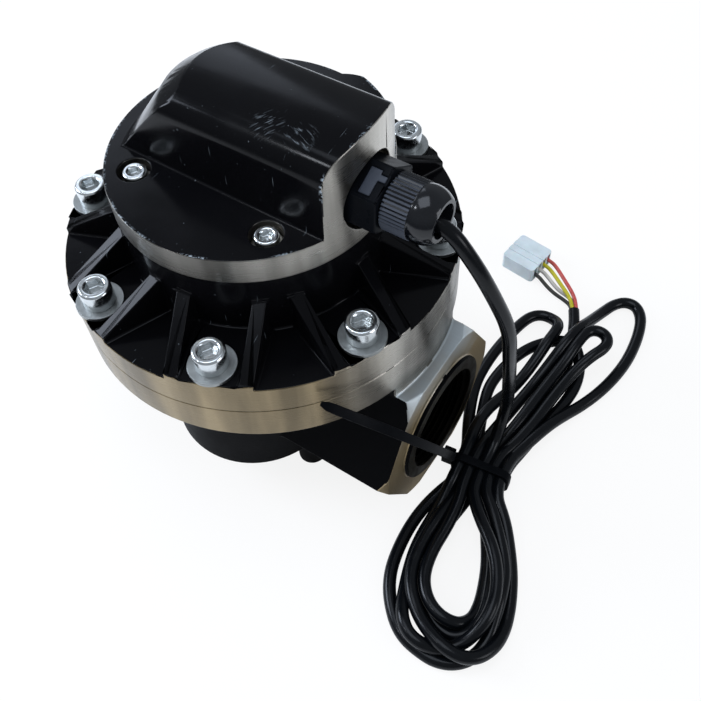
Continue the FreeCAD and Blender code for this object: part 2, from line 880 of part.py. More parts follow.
def make_tie():
    top = hank_height + tie_thickness
    outer = rounded_bar(tie_half_span, 0, top, tie_corner, tie_width / 2)
    inner = rounded_bar(
        tie_half_span - tie_thickness, tie_thickness, hank_height,
        tie_corner - tie_thickness, tie_width,
    )
    head = box(
        -tie_half_span - tie_head_length + tie_thickness, -tie_half_span + tie_thickness / 2,
        -tie_head_width / 2, tie_head_width / 2, top / 2, top / 2 + tie_head_height,
    )
    tie = at_waist(outer.fuse(head).cut(inner))
    return tie.fuse(tail_strip(*strip_points))


def core_routes():
    """Four cores fan out from the jacket's end to the plug."""
    along = (tail_end - tail_route[-2]).normalize()
    side = Vec(along.y, -along.x, 0)
    routes = {}
    for node, (across, level, between, way) in core_table.items():
        start = tail_end + side * (across * core_spread) + Vec(0, 0, level * core_spread)
        lead = core_lead_outer if across > 0 else core_lead_inner
        y = way * plug_pitch
        ends = [plug_point(plug_length / 2 + core_plug_lead, y), plug_point(contact_back(), y)]
        routes[node] = [start, start + along * lead] + [Vec(*point) for point in between] + ends
    return routes


def contact_back():
    """Rear end of a contact, along the plug from its middle."""
    return contact_inset + contact_length - plug_length / 2


def plug_point(x, y):
    """Point at mid height of the plug, from the plug's own frame."""
    angle = math.radians(plug_angle)
    return Vec(
        plug_x + x * math.cos(angle) - y * math.sin(angle),
        plug_y + x * math.sin(angle) + y * math.cos(angle),
        plug_height / 2,
    )


def at_plug(shape):
    return move(turn(shape, plug_angle), plug_x, plug_y, 0)


def make_plug():
    reach, half_width = plug_length / 2, plug_width / 2
    shell = box(-reach, reach, -half_width, half_width, 0, plug_height)
    edges = [edge for edge in shell.Edges if abs(edge.tangentAt(edge.FirstParameter).x) > 0.99]
    shell = shell.makeFillet(plug_corner, edges)
    middle = plug_height / 2
    half = contact_side / 2
    opening = half + seat_gap
    back = contact_back()
    cuts = []
    contacts = []
    for k in range(plug_ways):
        y = (k - (plug_ways - 1) / 2) * plug_pitch
        cuts.append(box(-reach, back, y - opening, y + opening, middle - opening, middle + opening))
        cuts.append(x_cylinder(core_diameter / 2 + 2 * seat_gap, back, reach, middle, y))
        contact = box(contact_inset - reach, back, y - half, y + half, middle - half, middle + half)
        contacts.append(at_plug(contact))
    save(at_plug(shell.cut(cuts)), "connector_housing")
    save_group(contacts, "connector_terminals")


def make_cable():
    save(tube(lead_route, cable_diameter, "cable_lead"), "cable_lead")
    save(tube(inner_route, cable_diameter, "inner_lead"), "inner_lead")
    save(tube(tail_route, cable_diameter, "cable_tail"), "cable_tail")
    save(make_hank(), "cable_hank")
    save(make_tie(), "cable_tie")
    for node, route in core_routes().items():
        save(tube(route, core_diameter, node), node)
    make_plug()


os.makedirs("parts", exist_ok=True)
save(make_lower_body(), "lower_body")
save(make_ribbed_cover(), "ribbed_cover")
make_gear_set()
save(make_housing(), "electronics_housing")
make_fasteners()
make_seals()
make_electronics()
make_gland()
make_cable()
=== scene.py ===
"""Dresses the oval gear flow meter: castings, screws, gland, port threads, folded cable, tie and plug."""

import math

import bmesh
import bpy
from bpy.props import FloatProperty, FloatVectorProperty, PointerProperty
from mathutils import Matrix, Vector


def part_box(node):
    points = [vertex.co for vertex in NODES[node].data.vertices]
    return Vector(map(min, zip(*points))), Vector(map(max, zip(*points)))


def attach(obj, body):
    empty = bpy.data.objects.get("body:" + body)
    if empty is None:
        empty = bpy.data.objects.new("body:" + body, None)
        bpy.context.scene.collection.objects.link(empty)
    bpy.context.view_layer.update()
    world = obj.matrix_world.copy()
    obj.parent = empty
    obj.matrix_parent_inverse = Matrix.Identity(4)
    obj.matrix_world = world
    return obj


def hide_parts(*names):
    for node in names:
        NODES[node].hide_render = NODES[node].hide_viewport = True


bl_info = {
    "name": "Oval Gear Flow Meter",
    "version": (1, 0, 0),
    "blender": (4, 5, 0),
    "location": "View3D > Sidebar > Flow Meter",
    "description": "Dresses the packed flow meter with its finishes, cable and studio",
    "category": "Object",
}

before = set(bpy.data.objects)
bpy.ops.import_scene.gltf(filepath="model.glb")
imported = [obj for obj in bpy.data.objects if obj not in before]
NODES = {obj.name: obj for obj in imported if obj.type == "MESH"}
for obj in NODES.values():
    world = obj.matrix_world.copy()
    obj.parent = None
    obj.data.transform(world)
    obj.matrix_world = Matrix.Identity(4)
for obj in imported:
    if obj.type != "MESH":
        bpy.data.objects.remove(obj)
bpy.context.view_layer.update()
BODY = "meter"
MM = 0.001

# Places read from the frame, in metres
RIM_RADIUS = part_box("ribbed_cover")[1].y
DISC_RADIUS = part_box("electronics_housing")[1].y
CASE_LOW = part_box("electronics_housing")[0].z
PORT_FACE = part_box("lower_body")[1].x
GLAND_AXIS = (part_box("gland_nut")[0].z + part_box("gland_nut")[1].z) / 2

# Sizes that the frame's boxes don't give, in millimetres
PORT_AXIS_MM = 37.0
PORT_RADIUS_MM = 22.42
LIP_HEIGHT_MM = 2.0
DISC_HEIGHT_MM = 10.7
POCKET_RADIUS_MM = 13.5
POCKET_FLOOR_MM = 41.0
COUNTERBORE_CIRCLE_MM = 40.0
COUNTERBORE_RADIUS_MM = 5.8
THREAD_PITCH_MM = 2.31
THREAD_LENGTH_MM = 21.0
THREAD_DEPTH_MM = 1.1
THREAD_START_MM = 1.2
TIE_HEAD_END_MM = 89.0
PLUG_PLACE_MM = (61.8, 122.3, 0.0)
PLUG_TURN = -7.5
PLUG_SIZE_MM = (18.5, 18.0, 9.0)
PLUG_PITCH_MM = 3.96
PLUG_CORNER_MM = 1.8
PLUG_RIB_MM = (1.5, 0.45)
PLUG_WALL_MM = 0.5
FEET_REACH_MM = 45.0

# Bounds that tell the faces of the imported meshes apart
WELD = 0.002 * MM
FLAT_ANGLE = math.radians(0.4)
SHARP_ANGLE = math.radians(28)
SQUARE = 0.97
PARALLEL = 0.99

# Signal cable, in millimetres: from the gland down to the tie, five folds below it and four above it, then
# the run to the cores. Each pass through the tie has a point on both sides of it.
CABLE_POINTS = [
    # lead from the gland
    (59.1, 0, 151.2), (76.8, 0, 151.2), (87.7, 1.2, 137.3), (94.3, 3.5, 123.5), (100.8, 7.5, 104),
    (101.2, 11.5, 83), (100.6, 17, 62), (99.4, 22.5, 44), (99.1, 25.4, 28.3), (99.5, 21, 16.1),
    (100.6, 12.5, 9.2),
    # first lower fold: down the right side, under the bottom, up the left side
    (102.6, -7.5, 9.3), (106.5, -14, 10.2), (113, -20.5, 11.4), (121, -27, 12.2), (127.8, -34.5, 12.2),
    (132.4, -43, 12), (134.6, -51, 11.8), (134.4, -59, 9.8), (131.5, -67, 6.2), (125.5, -73.5, 4.5),
    (118.5, -76.5, 7.5), (112, -76, 8.1), (107, -72.5, 8.1), (103.5, -67.5, 7), (100.8, -61, 4.5),
    (98.6, -55.5, 2.7), (96.5, -49, 2.7), (94.8, -42, 2.7), (93.9, -33, 2.7), (93.9, -23, 3.2),
    (93.6, -15, 6), (93, -7.9, 9.3),
    # upper fold beside the port
    (91.1, 8, 9.3), (89.2, 17, 8.6), (88.6, 27, 8.1), (90, 37, 6), (92, 47, 2.7), (93.5, 57, 2.7),
    (94.6, 67, 5), (95.4, 77, 8.8), (96.1, 85.5, 9), (94.5, 91.6, 6), (90.2, 94.9, 3), (84.8, 94.7, 2.7),
    (80.6, 91.2, 2.7), (78.4, 85, 2.7), (76.6, 75, 2.7), (75.4, 64, 2.7), (75.3, 53, 2.7), (76.4, 42, 2.7),
    (80, 31, 2.7), (84.8, 20, 2.7), (91.1, 8, 3.9),
    # second lower fold, outermost on the left
    (93, -7.9, 3.9), (90.6, -14.5, 3.2), (88.6, -23, 2.7), (87.8, -32, 2.7), (88.2, -41, 2.7),
    (89.6, -50, 2.7), (91.6, -57, 2.7), (95, -63.5, 2.7), (99.5, -69, 2.7), (105, -74, 2.7), (111, -77, 2.7),
    (118, -78, 2.7), (125, -78, 2.7), (132, -75, 2.7), (137, -69, 2.7), (138.6, -60, 3.2), (136.8, -51, 5.5),
    (134.8, -43, 7.4), (132, -34.5, 7.4), (127.5, -27.5, 7.4), (121.5, -20.5, 8), (114.5, -13, 9),
    (106.9, -6.2, 9.3),
    # short upper fold over the bundle
    (104.9, 9.7, 9.3), (108, 20, 8.8), (109.8, 33, 8.1), (110.7, 47, 8.1), (112, 60, 8.1), (114, 71, 9.5),
    (117, 78.5, 12), (119.8, 84.2, 12.5), (120, 89, 12.5), (117.2, 92.2, 12.5), (113, 92.6, 12.5),
    (109.6, 90, 12.5), (108.4, 84.5, 12.5), (108, 78, 12),
    (107.4, 70, 9.5), (106, 58, 8.1), (105, 46, 8.1), (104, 33, 7.5), (102.3, 21, 5.5), (100.3, 9.1, 3.9),
    # third lower fold, innermost on the left
    (102.3, -6.7, 3.9), (101.5, -17, 2.7), (100, -28, 2.7), (100.3, -38, 2.7), (102, -48, 2.7),
    (106, -56, 2.7), (112, -62, 2.7), (119, -66, 2.7), (126, -66.5, 2.7), (131, -62, 4.5), (133, -55, 6.5),
    (131.7, -48, 7.4), (129.7, -42, 7.4), (126.5, -34, 7.4), (122.5, -27, 6.5), (117.5, -18.5, 4.5),
    (111.5, -5.6, 3.9),
    # wide upper fold that passes under the short one
    (109.5, 10.3, 3.9), (111, 21, 2.9), (112.3, 32, 2.7), (114.5, 44, 2.7), (116.3, 55, 2.7),
    (116.5, 66, 2.7), (113.5, 76, 4.5), (107.5, 83, 7.6), (100.5, 84.5, 5), (93.5, 80.5, 2.7),
    (88.6, 74, 2.7), (85, 65, 2.7), (82.8, 54, 2.7), (82.6, 43, 2.7), (86, 32, 2.7), (90.4, 20, 2.7),
    (95.7, 8.6, 3.9),
    # fourth lower fold, over the others at the bottom and outermost on the right
    (97.7, -7.3, 3.9), (97.3, -16, 5.5), (96.6, -25, 7.4), (96.3, -35, 7.4), (97, -45, 7.4), (99.2, -54, 7.6),
    (104, -61.5, 8.1), (111, -67.5, 8.1), (118.5, -71.5, 9.5), (126.5, -73.8, 10.5), (134, -73, 9),
    (139.5, -68.5, 7.5), (142.2, -61, 5.5), (142, -53, 3), (140.2, -46, 2.7), (138, -40, 2.7),
    (134, -31.5, 2.7), (128.5, -23, 3.5), (121, -13.5, 6.5), (111.5, -5.6, 9.3),
    # long upper fold
    (109.5, 10.3, 9.3), (111.5, 20, 8.4), (114, 30, 8.1), (116.5, 39, 7), (119.5, 48, 4.5), (123.2, 57, 2.7),
    (127, 67.5, 2.7), (129.6, 79, 2.7), (130.8, 91, 2.7), (130, 103, 2.7), (128.2, 112.5, 2.7),
    (125.6, 119.2, 2.7), (121.2, 123.6, 2.7), (115.8, 123.2, 2.7), (111.6, 118.6, 2.7),
    (109.2, 111, 3.5), (107, 100.5, 7), (105, 89, 12.5), (103.2, 78, 12), (101.2, 66, 6), (99.4, 54, 2.7),
    (97.8, 41, 2.7), (96.5, 24, 6), (95.7, 8.6, 9.3),
    # fifth lower fold, innermost on the right
    (97.7, -7.3, 9.3), (101, -18, 8.6), (102, -30, 7.6), (102, -41, 7.4), (104, -51, 7.4), (108, -57.5, 7.6),
    (114, -62, 8.1), (120.5, -63.5, 8.1), (126.5, -61.5, 6), (129.5, -56, 3.5), (129, -49, 2.7),
    (127, -42, 2.7), (124, -34, 2.7), (120, -26.5, 2.7), (113.5, -16, 2.7), (106.9, -6.2, 3.9),
    # run to the cores
    (104.9, 9.7, 3.9), (107, 20, 2.9), (107.6, 32, 2.7), (107.8, 45, 2.7), (108, 58, 2.7), (107.8, 71, 2.7),
    (106.8, 80, 2.7), (105, 87, 2.7), (101.9, 93.5, 2.7), (99.4, 100, 2.7), (96.6, 105.3, 2.7),
]

# Cores from the jacket's end to the plug, in millimetres, and their lengths in metres
CORE_POINTS = {
    "red": [(97.48, 105.77, 3.7), (95.34, 109.83, 3.7), (91.2, 114, 4.4), (85, 118.8, 4.5),
            (77.8, 124.4, 4.5), (73.33, 126.77, 4.5), (63.52, 128.07, 4.5)],
    "yellow": [(95.72, 104.83, 3.7), (94.13, 107.84, 3.7), (90.2, 111.4, 4.4), (84, 115.6, 4.6),
               (77.5, 120.3, 4.5), (72.82, 122.85, 4.5), (63, 124.14, 4.5)],
    "white": [(97.48, 105.77, 1.7), (95.34, 109.83, 1.7), (90.6, 112.3, 1.8), (84, 113.4, 2.2),
              (77.5, 116.6, 3.4), (72.3, 118.92, 4.5), (62.48, 120.21, 4.5)],
    "black": [(95.72, 104.83, 1.7), (94.13, 107.84, 1.7), (88.9, 109.8, 1.4), (83, 111, 1.4),
              (77, 112.9, 2.6), (71.78, 114.99, 4.5), (61.97, 116.29, 4.5)],
}

# Camera of the photograph: place, and its right and up directions
CAMERA_PLACE = Vector((0.16324, -0.16510, 0.3495))
CAMERA_RIGHT = Vector((0.8314, 0.5537, -0.0466))
CAMERA_UP = Vector((-0.4329, 0.6981, 0.5703))
CAMERA_LENS = 44.68
CAMERA_SENSOR = 36.0

DAYLIGHT = "#eaf1fa"


def linear(code):
    """Linear RGBA of an sRGB hex colour."""
    channels = [int(code[i:i + 2], 16) / 255 for i in (1, 3, 5)]
    return [c / 12.92 if c <= 0.04045 else ((c + 0.055) / 1.055) ** 2.4 for c in channels] + [1.0]


def shade(colour, share):
    """The same colour, darker or lighter."""
    return [min(1.0, c * share) for c in colour[:3]] + [1.0]


def wire(tree, node, inputs):
    """Link a node's inputs to sockets, or set their values."""
    for name, value in inputs.items():
        if isinstance(value, bpy.types.NodeSocket):
            tree.links.new(value, node.inputs[name])
        else:
            node.inputs[name].default_value = value


def add(tree, kind, settings, inputs, out=0):
    """Add a node with its settings and inputs, and give one of its outputs."""
    node = tree.nodes.new(kind)
    for name, value in settings.items():
        setattr(node, name, value)
    wire(tree, node, inputs)
    return node.outputs[out] if node.outputs else node


def start(name, sockets):
    """New node material: its tree, its shader and its Object coordinates in millimetres."""
    material = bpy.data.materials.new(name)
    material.use_nodes = True
    tree = material.node_tree
    shader = tree.nodes["Principled BSDF"]
    wire(tree, shader, sockets)
    place = add(tree, "ShaderNodeTexCoord", {}, {}, "Object")
    place = add(tree, "ShaderNodeVectorMath", {"operation": "SCALE"}, {0: place, "Scale": 1 / MM})
    return material, tree, shader, place


def finish_shader(tree, shader, base, pattern, rough, height, depth_mm):
    """Wire the colour, a roughness that follows a pattern between two values, and a bump of one depth."""
    rough = add(tree, "ShaderNodeMapRange", {},
                {"Value": pattern, "From Min": 0.3, "From Max": 0.7, "To Min": rough[0], "To Max": rough[1]})
    normal = add(tree, "ShaderNodeBump", {}, {"Height": height, "Distance": depth_mm * MM})
    wire(tree, shader, {"Base Color": base, "Roughness": rough, "Normal": normal})


# Finishes

def anodised_black(name, colour, wear=None):
    """Polished aluminium, hard anodised black: near black, clear reflections, handling film and dust."""
    material, tree, shader, place = start(name, {"IOR": 1.2})
    # blotches of the film about 40 mm wide, smears about 15 mm
    film = add(tree, "ShaderNodeTexNoise", {}, {"Vector": place, "Scale": 1 / 40, "Detail": 3.0})
    base = add(tree, "ShaderNodeMix", {"data_type": "RGBA"},
               {0: film, 6: shade(colour, 0.6), 7: shade(colour, 1.4)}, 2)
    smear = add(tree, "ShaderNodeTexNoise", {}, {"Vector": place, "Scale": 1 / 15, "Detail": 4.0})
    rough = add(tree, "ShaderNodeMapRange", {},
                {"Value": smear, "From Min": 0.3, "From Max": 0.7, "To Min": 0.12, "To Max": 0.22})
    # dust specks of about 0.5 mm, drawn twice as coarse so that they show, thicker in some places
    specks = add(tree, "ShaderNodeTexNoise", {}, {"Vector": place, "Scale": 1 / 1.0, "Detail": 0.0})
    specks = add(tree, "ShaderNodeMapRange", {},
                 {"Value": specks, "From Min": 0.84, "From Max": 0.9, "To Max": 0.25})
    drift = add(tree, "ShaderNodeTexNoise", {}, {"Vector": place, "Scale": 1 / 30, "Detail": 1.0})
    drift = add(tree, "ShaderNodeMapRange", {}, {"Value": drift, "From Min": 0.45, "From Max": 0.6})
    marks = add(tree, "ShaderNodeMath", {"operation": "MULTIPLY"}, {0: specks, 1: drift})
    # hair scratches 0.3 mm wide and about 12 mm long, few and far between
    turned = add(tree, "ShaderNodeMapping", {},
                 {"Vector": place, "Scale": (1 / 0.3, 1 / 12, 1 / 12), "Rotation": (0, 0, 0.7)})
    hairs = add(tree, "ShaderNodeTexNoise", {}, {"Vector": turned, "Scale": 1.0, "Detail": 0.0})
    hairs = add(tree, "ShaderNodeMapRange", {},
                {"Value": hairs, "From Min": 0.84, "From Max": 0.88, "To Max": 0.4})
    marks = add(tree, "ShaderNodeMath", {"operation": "MAXIMUM"}, {0: marks, 1: hairs})
    if wear:
        marks = add(tree, "ShaderNodeMath", {"operation": "MAXIMUM"}, {0: marks, 1: wear(tree, place)})
    base = add(tree, "ShaderNodeMix", {"data_type": "RGBA"}, {0: marks, 6: base, 7: linear("#9da7ae")}, 2)
    rough = add(tree, "ShaderNodeMath", {"operation": "MULTIPLY_ADD"}, {0: marks, 1: 0.4, 2: rough})
    # polish that waves over about 4 mm
    peel = add(tree, "ShaderNodeTexNoise", {}, {"Vector": place, "Scale": 1 / 4, "Detail": 2.0})
    normal = add(tree, "ShaderNodeBump", {}, {"Height": peel, "Distance": 0.008 * MM})
    wire(tree, shader, {"Base Color": base, "Roughness": rough, "Normal": normal})
    return material


def case_wear(tree, place):
    """Marks on the sensor housing: chips along the disc's upper edge and white scuffs across the crown."""
    flat = add(tree, "ShaderNodeVectorMath", {"operation": "MULTIPLY"}, {0: place, 1: (1, 1, 0)})
    reach = add(tree, "ShaderNodeVectorMath", {"operation": "LENGTH"}, {0: flat}, "Value")
    rim = DISC_RADIUS / MM
    edge = add(tree, "ShaderNodeMapRange", {}, {"Value": reach, "From Min": rim - 1.1, "From Max": rim - 0.2})
    height = add(tree, "ShaderNodeSeparateXYZ", {}, {0: place}, 2)
    top = CASE_LOW / MM + DISC_HEIGHT_MM
    upper = add(tree, "ShaderNodeMapRange", {},
                {"Value": height, "From Min": top - 0.9, "From Max": top - 0.2})
    edge = add(tree, "ShaderNodeMath", {"operation": "MULTIPLY"}, {0: edge, 1: upper})
    # chips of about 1 mm, in runs of about 12 mm
    chips = add(tree, "ShaderNodeTexNoise", {}, {"Vector": place, "Scale": 1 / 1.0, "Detail": 2.0})
    chips = add(tree, "ShaderNodeMapRange", {}, {"Value": chips, "From Min": 0.5, "From Max": 0.58})
    runs = add(tree, "ShaderNodeTexNoise", {}, {"Vector": place, "Scale": 1 / 12, "Detail": 1.0})
    runs = add(tree, "ShaderNodeMapRange", {}, {"Value": runs, "From Min": 0.46, "From Max": 0.56})
    chips = add(tree, "ShaderNodeMath", {"operation": "MULTIPLY"}, {0: chips, 1: runs})
    chips = add(tree, "ShaderNodeMath", {"operation": "MULTIPLY"}, {0: chips, 1: edge})
    # scuffs on the crown's front shoulder and its top, as strokes 0.6 mm wide and 3.5 mm long
    marks = chips
    for spot, spread, turn in (((34, -12.4, 175), 6.0, -0.35), ((21.5, -12.5, 174.9), 6.0, 0.9)):
        away = add(tree, "ShaderNodeVectorMath", {"operation": "DISTANCE"}, {0: place, 1: spot}, "Value")
        patch = add(tree, "ShaderNodeMapRange", {},
                    {"Value": away, "From Min": spread, "From Max": spread / 3})
        turned = add(tree, "ShaderNodeMapping", {"vector_type": "TEXTURE"},
                     {"Vector": place, "Scale": (3.5, 0.6, 3.5), "Rotation": (0, 0, turn)})
        strokes = add(tree, "ShaderNodeTexNoise", {}, {"Vector": turned, "Scale": 1.0, "Detail": 3.0})
        strokes = add(tree, "ShaderNodeMapRange", {},
                      {"Value": strokes, "From Min": 0.56, "From Max": 0.76, "To Max": 0.5})
        scuffs = add(tree, "ShaderNodeMath", {"operation": "MULTIPLY"}, {0: strokes, 1: patch})
        marks = add(tree, "ShaderNodeMath", {"operation": "MAXIMUM"}, {0: marks, 1: scuffs})
    return marks


def turned_aluminium(name, colour, clean, fade_mm):
    """Bare lathe-turned aluminium: soft upright streaks that are painted reflections, and a first colour that
    turns into a lighter second one towards +X, the lighter one a painted reflection.
    """
    material, tree, shader, place = start(
        name, {"Metallic": 1.0, "Anisotropic": 0.6, "Anisotropic Rotation": 0.25})
    # painted reflections: lighter and darker streaks about 14 mm wide that run up the rim
    upright = add(tree, "ShaderNodeMapping", {}, {"Vector": place, "Scale": (1 / 14, 1 / 14, 1 / 120)})
    reflection_streaks = add(tree, "ShaderNodeTexNoise", {}, {"Vector": upright, "Scale": 1.0, "Detail": 3.0})
    reflection_streaks = add(tree, "ShaderNodeMapRange", {},
                  {"Value": reflection_streaks, "From Min": 0.35, "From Max": 0.65, "To Min": 0.6, "To Max": 1.4})
    # the first colour turns into the second over this span along X; the lighter second colour is a painted
    # reflection
    across = add(tree, "ShaderNodeSeparateXYZ", {}, {0: place}, 0)
    across = add(tree, "ShaderNodeMapRange", {},
                 {"Value": across, "From Min": fade_mm[0], "From Max": fade_mm[1]})
    base = add(tree, "ShaderNodeMix", {"data_type": "RGBA"}, {0: across, 6: list(colour), 7: list(clean)}, 2)
    base = add(tree, "ShaderNodeVectorMath", {"operation": "SCALE"}, {0: base, "Scale": reflection_streaks})
    # tool rings of 0.2 mm, drawn 0.45 mm wide so that they show
    rings = add(tree, "ShaderNodeMapping", {}, {"Vector": place, "Scale": (1 / 60, 1 / 60, 1 / 0.45)})
    rings = add(tree, "ShaderNodeTexNoise", {}, {"Vector": rings, "Scale": 1.0, "Detail": 2.0})
    rough = add(tree, "ShaderNodeMapRange", {},
                {"Value": rings, "From Min": 0.3, "From Max": 0.7, "To Min": 0.26, "To Max": 0.31})
    around = add(tree, "ShaderNodeTangent", {"direction_type": "RADIAL", "axis": "Z"}, {})
    wire(tree, shader, {"Base Color": base, "Roughness": rough, "Tangent": around})
    return material


def faced_aluminium(name, colour, border_mm):
    """Bare faced aluminium of the port ends: tool rings about the port's axis, oily below, and a lighter
    blue-grey above that is a painted highlight.
    """
    material, tree, shader, place = start(name, {"Metallic": 1.0})
    centred = add(tree, "ShaderNodeVectorMath", {"operation": "SUBTRACT"},
                  {0: place, 1: (0, 0, PORT_AXIS_MM)})
    flat = add(tree, "ShaderNodeVectorMath", {"operation": "MULTIPLY"}, {0: centred, 1: (0, 1, 1)})
    reach = add(tree, "ShaderNodeVectorMath", {"operation": "LENGTH"}, {0: flat}, "Value")
    # tool rings about 0.4 mm apart
    rings = add(tree, "ShaderNodeTexNoise", {"noise_dimensions": "1D"},
                {"W": reach, "Scale": 1 / 0.4, "Detail": 3.0})
    # the oil stays below this border, which is uneven by 30 mm in waves of about 12 mm; above it the colour
    # is a painted highlight
    oil = add(tree, "ShaderNodeTexNoise", {}, {"Vector": place, "Scale": 1 / 12, "Detail": 3.0})
    height = add(tree, "ShaderNodeSeparateXYZ", {}, {0: place}, 2)
    border = add(tree, "ShaderNodeMath", {"operation": "MULTIPLY_ADD"}, {0: oil, 1: 30.0, 2: height})
    border = add(tree, "ShaderNodeMapRange", {},
                 {"Value": border, "From Min": border_mm[0], "From Max": border_mm[1]})
    # warm oily tone below the border, blue-grey painted highlight above it
    base = add(tree, "ShaderNodeMix", {"data_type": "RGBA"},
               {0: border, 6: shade(colour, 1.8), 7: linear("#c0c8cb")}, 2)
    finish_shader(tree, shader, base, rings, (0.4, 0.52), rings, 0.012)
    return material


def dark_cut_metal(name, dark, light):
    """Cut aluminium of the ports in near-black to dark brown colours; in the bore and its threads the dark is
    painted shade of the recess.
    """
    material, tree, shader, place = start(name, {"Metallic": 1.0})
    # darker and lighter patches of about 6 mm
    oil = add(tree, "ShaderNodeTexNoise", {}, {"Vector": place, "Scale": 1 / 6, "Detail": 3.0})
    base = add(tree, "ShaderNodeMix", {"data_type": "RGBA"}, {0: oil, 6: linear(dark), 7: linear(light)}, 2)
    # torn metal in flecks of about 0.8 mm
    tears = add(tree, "ShaderNodeTexNoise", {}, {"Vector": place, "Scale": 1 / 0.8, "Detail": 2.0})
    finish_shader(tree, shader, base, oil, (0.35, 0.55), tears, 0.03)
    return material


def cast_paint(colour):
    """Black stoving paint over sand-cast aluminium: satin, with the sand's faint orange peel."""
    material, tree, shader, place = start("CastBlackPaint", {"IOR": 1.1})
    # coat that varies over about 25 mm
    coat = add(tree, "ShaderNodeTexNoise", {}, {"Vector": place, "Scale": 1 / 25, "Detail": 3.0})
    base = add(tree, "ShaderNodeMix", {"data_type": "RGBA"},
               {0: coat, 6: shade(colour, 0.4), 7: shade(colour, 1.0)}, 2)
    # sand grains of about 0.5 mm under the paint, drawn 1.4 mm wide so that they show
    sand = add(tree, "ShaderNodeTexNoise", {}, {"Vector": place, "Scale": 1 / 1.4, "Detail": 2.0})
    finish_shader(tree, shader, base, coat, (0.4, 0.55), sand, 0.04)
    return material


def metal(name, dark, light, rough_low, rough_high, mark_mm, depth_mm):
    """Plain metal of the small parts: tumbled, ground, plated or milled, with fine handling marks."""
    material, tree, shader, place = start(name, {"Metallic": 1.0})
    tarnish = add(tree, "ShaderNodeTexNoise", {},
                  {"Vector": place, "Scale": 1 / (4 * mark_mm), "Detail": 3.0})
    base = add(tree, "ShaderNodeMix", {"data_type": "RGBA"},
               {0: tarnish, 6: linear(dark), 7: linear(light)}, 2)
    marks = add(tree, "ShaderNodeTexNoise", {}, {"Vector": place, "Scale": 1 / mark_mm, "Detail": 2.0})
    finish_shader(tree, shader, base, marks, (rough_low, rough_high), marks, depth_mm)
    return material


def moulded(name, colour, rough_low, rough_high, grain_mm, depth_mm, sockets):
    """Moulded or extruded plastic and rubber: even colour with a fine tool texture and handling gloss."""
    material, tree, shader, place = start(name, sockets)
    cloud = add(tree, "ShaderNodeTexNoise", {},
                {"Vector": place, "Scale": 1 / (12 * grain_mm), "Detail": 3.0})
    base = add(tree, "ShaderNodeMix", {"data_type": "RGBA"},
               {0: cloud, 6: shade(colour, 0.75), 7: shade(colour, 1.25)}, 2)
    gloss = add(tree, "ShaderNodeTexNoise", {}, {"Vector": place, "Scale": 1 / (6 * grain_mm), "Detail": 2.0})
    texture = add(tree, "ShaderNodeTexNoise", {}, {"Vector": place, "Scale": 1 / grain_mm, "Detail": 2.0})
    finish_shader(tree, shader, base, gloss, (rough_low, rough_high), texture, depth_mm)
    return material


# Building helpers

def place_piece(name, bm, materials, nodes):
    """Make a piece of a finished bmesh; it rides on the meter and stands for its nodes."""
    mesh = bpy.data.meshes.new(name)
    bm.to_mesh(mesh)
    bm.free()
    piece = bpy.data.objects.new(name, mesh)
    bpy.context.scene.collection.objects.link(piece)
    for material in materials:
        mesh.materials.append(material)
    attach(piece, BODY)
    if nodes:
        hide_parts(*nodes)
    return piece


def merged_copy(node):
    """Copy a node's triangles into one skin, with flat areas as whole faces."""
    bm = bmesh.new()
    bm.from_mesh(NODES[node].data)
    bmesh.ops.remove_doubles(bm, verts=bm.verts, dist=WELD)
    bmesh.ops.dissolve_limit(bm, angle_limit=FLAT_ANGLE, verts=bm.verts, edges=bm.edges)
    for face in bm.faces:
        face.smooth = True
        face.material_index = 0
    return bm


def break_edges(piece, width, segments=2, limit="ANGLE"):
    """Break the sharp edges as tooling and paint do."""
    bevel = piece.modifiers.new("BrokenEdges", "BEVEL")
    bevel.width = width
    bevel.segments = segments
    bevel.limit_method = limit
    bevel.angle_limit = SHARP_ANGLE
    bevel.use_clamp_overlap = False
    flat = piece.modifiers.new("FlatFaces", "WEIGHTED_NORMAL")
    flat.mode = "FACE_AREA"
    flat.weight = 100


def weigh_edges(bm, outer_share):
    """Inner corners get the full fillet, outer edges a share of it, the feet on the floor none."""
    layer = bm.edges.layers.float.new("bevel_weight_edge")
    for edge in bm.edges:
        low = min(vert.co.z for vert in edge.verts) < 1 * MM
        on_feet = low and abs(edge.verts[0].co.x) < FEET_REACH_MM * MM
        if len(edge.link_faces) != 2 or on_feet:
            continue
        angle = edge.calc_face_angle_signed()
        if abs(angle) > SHARP_ANGLE:
            edge[layer] = 1.0 if angle < 0 else outer_share


def dress(node, name, materials, width, choose=None, fillet=None):
    """Piece that stands for a node: its merged skin, its finishes and its broken edges."""
    bm = merged_copy(node)
    if choose:
        for face in bm.faces:
            face.material_index = choose(face.calc_center_median(), face.normal)
    if fillet:
        weigh_edges(bm, width / fillet)
    piece = place_piece(name, bm, materials, [node])
    if fillet:
        break_edges(piece, fillet, 3, "WEIGHT")
    else:
        break_edges(piece, width)
    return piece


def on_cylinder(centre, normal, radius):
    """True for a face on an upright cylinder about the meter's axis."""
    flat = Vector((centre.x, centre.y))
    if abs(flat.length - radius) > 0.4 * MM or abs(normal.z) > 0.3:
        return False
    return abs(Vector((normal.x, normal.y)).dot(flat.normalized())) > 0.9


# Sizes and colours that a user would change

